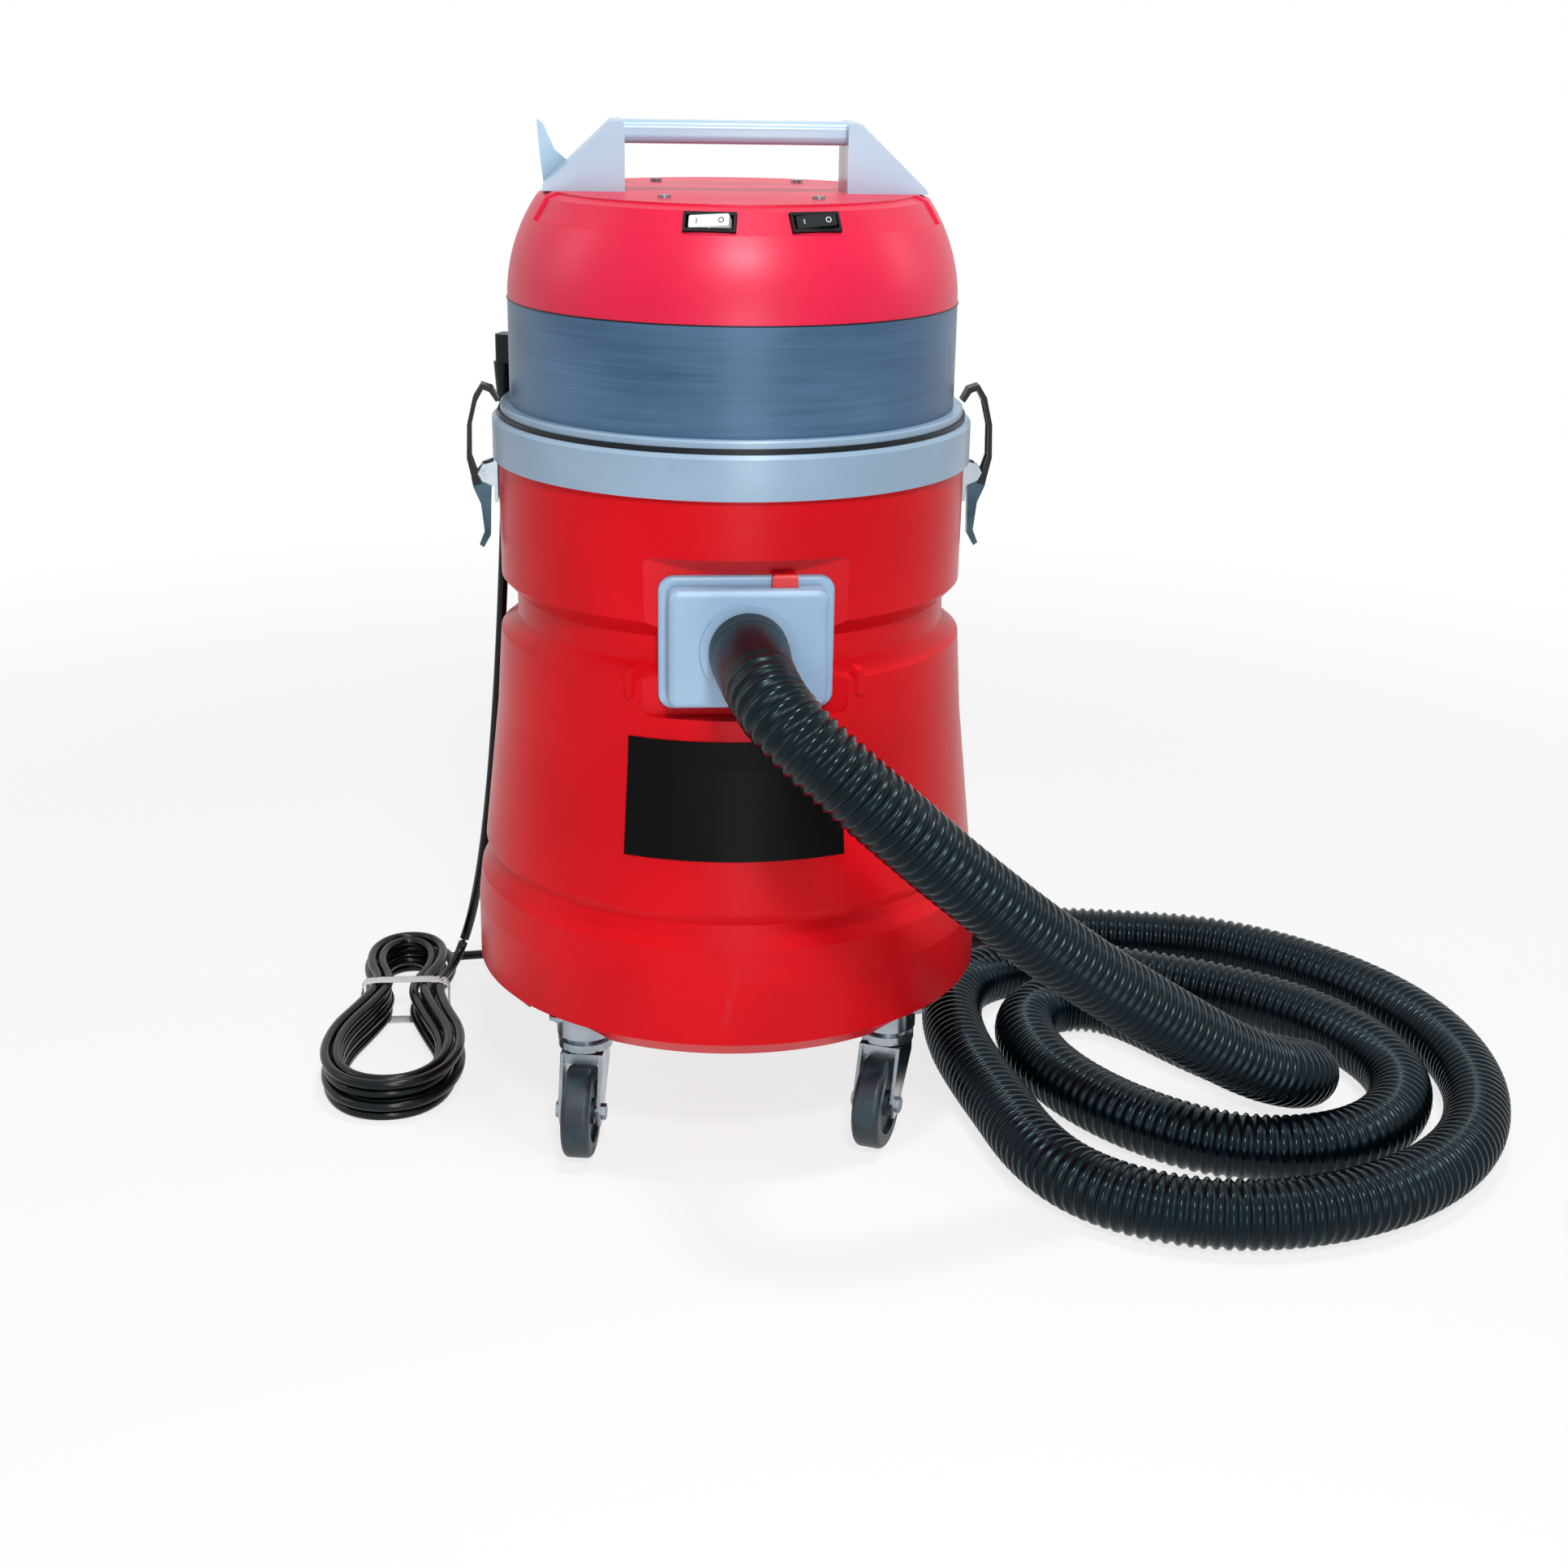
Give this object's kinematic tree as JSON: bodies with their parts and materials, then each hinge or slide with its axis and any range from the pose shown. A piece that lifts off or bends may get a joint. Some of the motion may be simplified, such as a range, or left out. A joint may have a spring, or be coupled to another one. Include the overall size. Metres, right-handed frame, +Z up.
{
  "type": "shop vacuum",
  "caption": "Wet and dry drum vacuum on swivel casters with a lift-off motor head, toggle latches, carrying handle, ribbed hose and a tied mains cord.",
  "frame": {"origin": "on the floor under the drum's axis", "axes": "+Z up along the drum's axis, -Y towards the front with the suction inlet, +X to the viewer's right"},
  "size_m": [1.0657, 0.6413, 0.844],
  "materials": {
    "red_tank": "smooth moulded red, satin gloss",
    "red_cover": "smooth moulded crimson, satin gloss",
    "slate_band": "slate blue-grey with a faint brushed look",
    "pale_ring": "pale grey-blue, smooth",
    "pale_box": "pale grey-blue, smooth",
    "pale_handle": "pale grey-blue, smooth",
    "black_plastic": "fine grain",
    "black_rubber": "matt",
    "hose_black": "ribbed, semi gloss",
    "grey_collar": "smooth",
    "white_plastic": "smooth",
    "red_button": "smooth",
    "paper_white": "matt",
    "chrome_steel": "bright plated",
    "zinc_steel": "zinc plated",
    "iron_core": "stacked laminations",
    "cast_aluminium": "as cast",
    "wheel_rubber": "dark slate, satin"
  },
  "bodies": {
    "tank": {"tank_drum": "red_tank", "rim_ring": "pale_ring", "rim_gasket": "black_rubber", "inlet_box": "pale_box", "inlet_collar": "grey_collar", "inlet_hood": "black_plastic", "inlet_nuts": "zinc_steel", "label_panel": "black_plastic", "latch_base_left": "chrome_steel", "latch_base_right": "chrome_steel", "latch_pins": "chrome_steel", "caster_plates": "chrome_steel", "caster_bolts": "zinc_steel", "hose_inlet_cuff": "black_rubber", "hose_drop": "hose_black", "hose_coil": "hose_black", "hose_end_cuff": "black_rubber", "cord_drop": "black_rubber", "cord_hank": "black_rubber", "cord_tie": "paper_white", "cord_plug": "black_plastic"},
    "head": {"head_plate": "pale_ring", "motor_band": "slate_band", "top_cover": "red_cover", "handle": "pale_handle", "cord_hook": "pale_handle", "cord_gland": "black_plastic", "switch_bodies": "black_plastic", "cover_screws": "zinc_steel", "motor_can": "zinc_steel", "fan_housing": "black_plastic", "motor_bearings": "zinc_steel", "exhaust_filter": "paper_white", "filter_cage": "black_plastic", "filter_element": "paper_white", "filter_cap": "black_plastic", "filter_knob": "black_plastic"},
    "rotor": {"motor_shaft": "zinc_steel", "armature": "iron_core", "impeller": "cast_aluminium", "cooling_fan": "black_plastic"},
    "rocker_left": {"rocker_left": "white_plastic"},
    "rocker_right": {"rocker_right": "black_plastic"},
    "inlet_button": {"inlet_button": "red_button"},
    "latch_lever_left": {"latch_lever_left": "chrome_steel"},
    "latch_strap_left": {"latch_strap_left": "black_plastic"},
    "latch_lever_right": {"latch_lever_right": "chrome_steel"},
    "latch_strap_right": {"latch_strap_right": "black_plastic"},
    "caster_front_left": {"caster_fork_front_left": "chrome_steel", "caster_axle_front_left": "zinc_steel"},
    "wheel_front_left": {"caster_wheel_front_left": "wheel_rubber"},
    "caster_front_right": {"caster_fork_front_right": "chrome_steel", "caster_axle_front_right": "zinc_steel"},
    "wheel_front_right": {"caster_wheel_front_right": "wheel_rubber"},
    "caster_rear_left": {"caster_fork_rear_left": "chrome_steel", "caster_axle_rear_left": "zinc_steel"},
    "wheel_rear_left": {"caster_wheel_rear_left": "wheel_rubber"},
    "caster_rear_right": {"caster_fork_rear_right": "chrome_steel", "caster_axle_rear_right": "zinc_steel"},
    "wheel_rear_right": {"caster_wheel_rear_right": "wheel_rubber"}
  },
  "joints": [
    {"name": "head_lift", "type": "slide", "parent": "tank", "child": "head", "axis": [0, 0, 1], "range_m": [0, 0.24]},
    {"name": "rotor_spin", "type": "hinge", "parent": "head", "child": "rotor", "pos_m": [0, 0, 0.7], "axis": [0, 0, 1], "continuous": true},
    {"name": "inlet_button_press", "type": "slide", "parent": "tank", "child": "inlet_button", "axis": [0, 0, -1], "range_m": [0, 0.004], "stiffness_N_per_m": 400},
    {"name": "rocker_left_rock", "type": "hinge", "parent": "head", "child": "rocker_left", "pos_m": [-0.029, -0.15918, 0.778], "axis": [0.0954, 0.5239, 0.8464], "range_deg": [0, 16]},
    {"name": "rocker_right_rock", "type": "hinge", "parent": "head", "child": "rocker_right", "pos_m": [0.051, -0.15355, 0.778], "axis": [-0.1679, 0.5054, 0.8464], "range_deg": [0, 16]},
    {"name": "latch_lever_left_swing", "type": "hinge", "parent": "tank", "child": "latch_lever_left", "pos_m": [-0.207, 0, 0.56], "axis": [0, 1, 0], "range_deg": [0, 100]},
    {"name": "latch_strap_left_swing", "type": "hinge", "parent": "latch_lever_left", "child": "latch_strap_left", "pos_m": [-0.213, 0, 0.552], "axis": [0, 1, 0], "range_deg": [-150, 0]},
    {"name": "latch_lever_right_swing", "type": "hinge", "parent": "tank", "child": "latch_lever_right", "pos_m": [0.207, 0, 0.56], "axis": [0, -1, 0], "range_deg": [0, 100]},
    {"name": "latch_strap_right_swing", "type": "hinge", "parent": "latch_lever_right", "child": "latch_strap_right", "pos_m": [0.213, 0, 0.552], "axis": [0, -1, 0], "range_deg": [-150, 0]},
    {"name": "caster_front_left_swivel", "type": "hinge", "parent": "tank", "child": "caster_front_left", "pos_m": [-0.13, -0.13, 0.115], "axis": [0, 0, 1], "continuous": true},
    {"name": "wheel_front_left_roll", "type": "hinge", "parent": "caster_front_left", "child": "wheel_front_left", "pos_m": [-0.13434, -0.15462, 0.04], "axis": [0.9848, -0.1736, 0], "continuous": true},
    {"name": "caster_front_right_swivel", "type": "hinge", "parent": "tank", "child": "caster_front_right", "pos_m": [0.13, -0.13, 0.115], "axis": [0, 0, 1], "continuous": true},
    {"name": "wheel_front_right_roll", "type": "hinge", "parent": "caster_front_right", "child": "wheel_front_right", "pos_m": [0.11983, -0.15284, 0.04], "axis": [0.9135, -0.4067, 0], "continuous": true},
    {"name": "caster_rear_left_swivel", "type": "hinge", "parent": "tank", "child": "caster_rear_left", "pos_m": [-0.13, 0.13, 0.115], "axis": [0, 0, 1], "continuous": true},
    {"name": "wheel_rear_left_roll", "type": "hinge", "parent": "caster_rear_left", "child": "wheel_rear_left", "pos_m": [-0.1352, 0.10555, 0.04], "axis": [0.9781, -0.2079, 0], "continuous": true},
    {"name": "caster_rear_right_swivel", "type": "hinge", "parent": "tank", "child": "caster_rear_right", "pos_m": [0.13, 0.13, 0.115], "axis": [0, 0, 1], "continuous": true},
    {"name": "wheel_rear_right_roll", "type": "hinge", "parent": "caster_rear_right", "child": "wheel_rear_right", "pos_m": [0.13647, 0.10585, 0.04], "axis": [0.9659, 0.2588, 0], "continuous": true}
  ],
  "couplings": [
    {"joint": "latch_strap_left_swing", "follows": "latch_lever_left_swing", "ratio": -1.5},
    {"joint": "latch_strap_right_swing", "follows": "latch_lever_right_swing", "ratio": -1.5}
  ]
}
